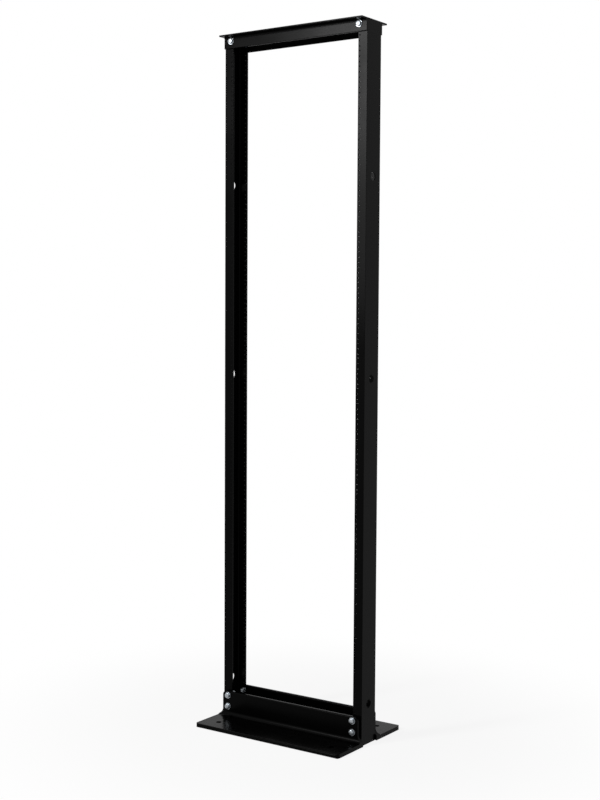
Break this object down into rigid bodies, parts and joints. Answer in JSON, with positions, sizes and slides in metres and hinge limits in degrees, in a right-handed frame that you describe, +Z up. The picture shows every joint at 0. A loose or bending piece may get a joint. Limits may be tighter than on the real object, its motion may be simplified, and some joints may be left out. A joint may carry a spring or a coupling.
{
  "type": "two post open frame rack",
  "caption": "Free-standing two post open frame rack: two drilled channel uprights joined by angles at the top and wide base angles on the floor.",
  "frame": {"origin": "on the floor, midway between the two uprights and midway between the front and rear toes of the foot", "axes": "+Z up along the uprights, +X to the right hand upright seen from the front, -Y towards the front, where equipment is offered up"},
  "size_m": [0.5286, 0.3556, 2.1336],
  "materials": {
    "black_powder_coat": "satin",
    "zinc_plated_steel": "satin"
  },
  "bodies": {
    "root": {"left_upright": "black_powder_coat", "right_upright": "black_powder_coat", "front_top_angle": "black_powder_coat", "rear_top_angle": "black_powder_coat", "front_base_angle": "black_powder_coat", "rear_base_angle": "black_powder_coat"}
  },
  "joints": []
}
